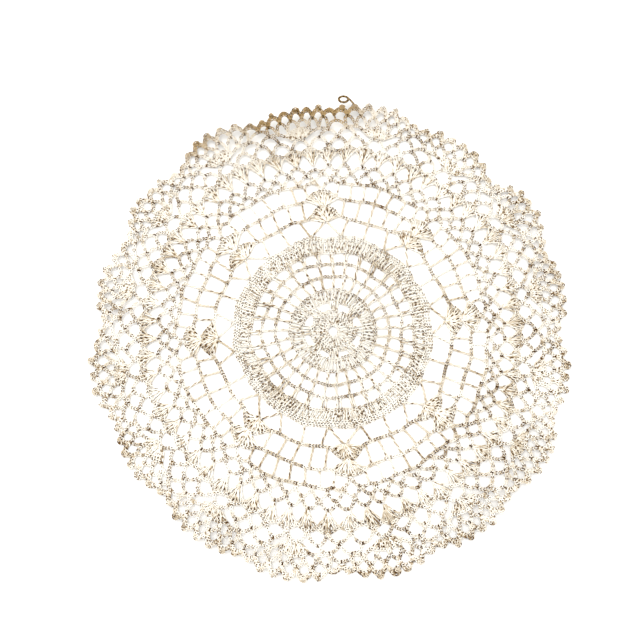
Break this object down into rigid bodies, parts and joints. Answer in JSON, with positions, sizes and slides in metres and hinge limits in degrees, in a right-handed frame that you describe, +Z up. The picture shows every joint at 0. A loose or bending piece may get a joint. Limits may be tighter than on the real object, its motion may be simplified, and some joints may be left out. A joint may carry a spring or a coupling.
{
  "type": "crochet lace mat",
  "caption": "Round, flat crocheted lace mat of cotton thread, with openwork rounds, fan-shaped stitch groups, a scalloped picot edge and a small hanging loop.",
  "frame": {"origin": "middle of the mat's outline box, on the surface that it lies on", "axes": "+Z up through the mat's upper face, +Y towards the edge with the hanging loop, +X to the right of it seen from above"},
  "size_m": [0.359, 0.374, 0.0086],
  "materials": {
    "cotton_thread": "undyed cotton thread, cream, darker tan towards the edge with the loop"
  },
  "bodies": {
    "root": {"lace_mat": "cotton_thread"}
  },
  "joints": []
}
